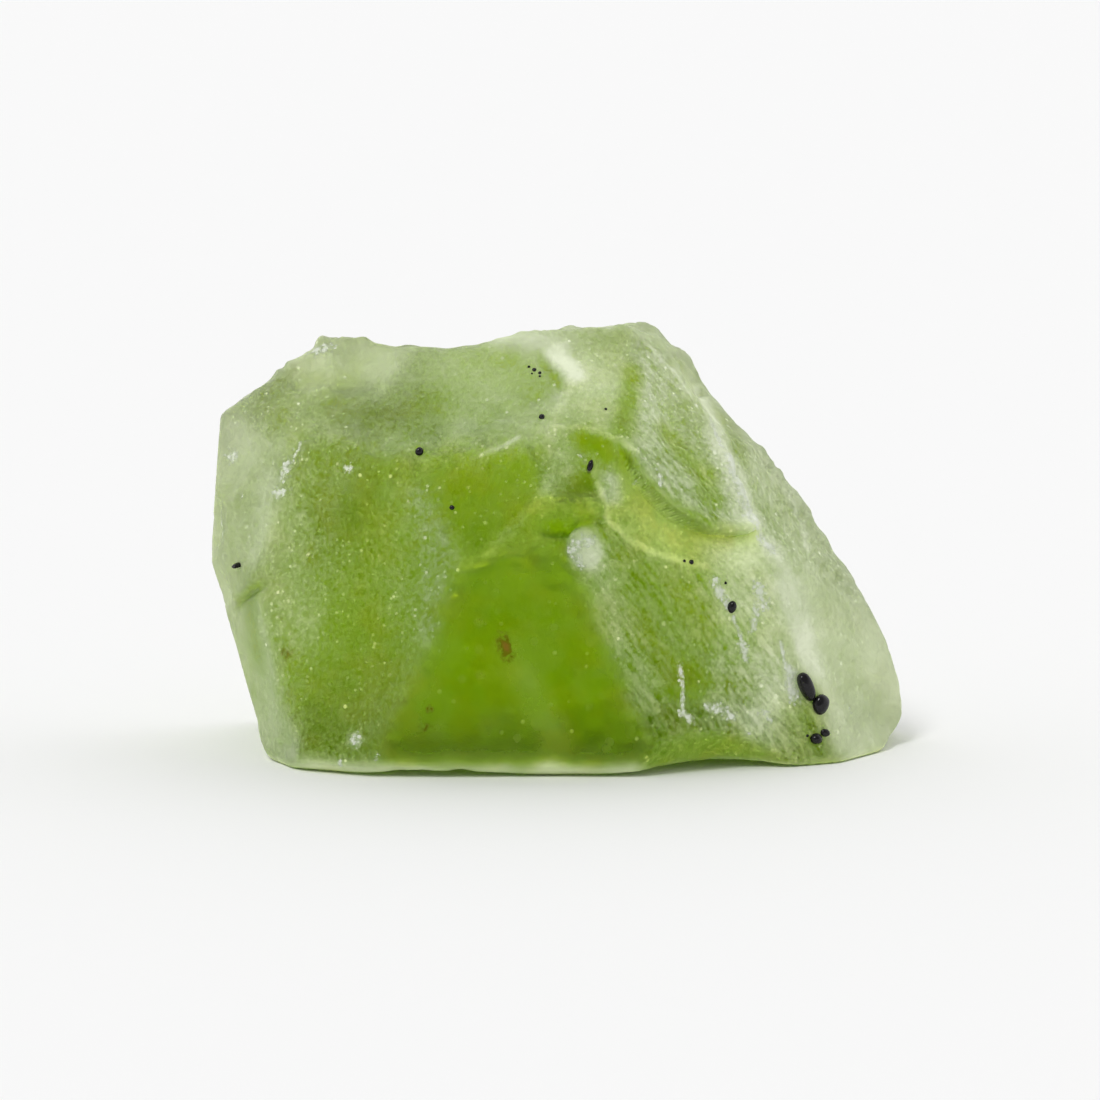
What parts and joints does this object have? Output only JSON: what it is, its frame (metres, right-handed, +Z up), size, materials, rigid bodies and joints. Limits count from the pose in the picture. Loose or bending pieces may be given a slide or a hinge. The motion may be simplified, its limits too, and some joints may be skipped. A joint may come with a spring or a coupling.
{
  "type": "rough peridot crystal",
  "caption": "Broken rough peridot fragment with flat cleaved faces, conchoidal scoops, a crescent ledge and black chromite grains in its surface, resting on a flat base.",
  "frame": {"origin": "middle of the bounding box's bottom, on the flat base face", "axes": "+X along the stone's length to its tapered end, +Z up, -Y towards the clear front window"},
  "size_m": [0.0142, 0.0076, 0.0086],
  "materials": {
    "peridot": "see-through yellow-green, frosted fracture faces with clearer windows",
    "chromite": "glossy black crystal faces"
  },
  "bodies": {
    "root": {"peridot_crystal": "peridot", "chromite_pair_long": "chromite", "chromite_pair_short": "chromite", "chromite_toe": "chromite", "chromite_toe_small": "chromite", "chromite_middle": "chromite", "chromite_hollow": "chromite", "chromite_left": "chromite"}
  },
  "joints": []
}
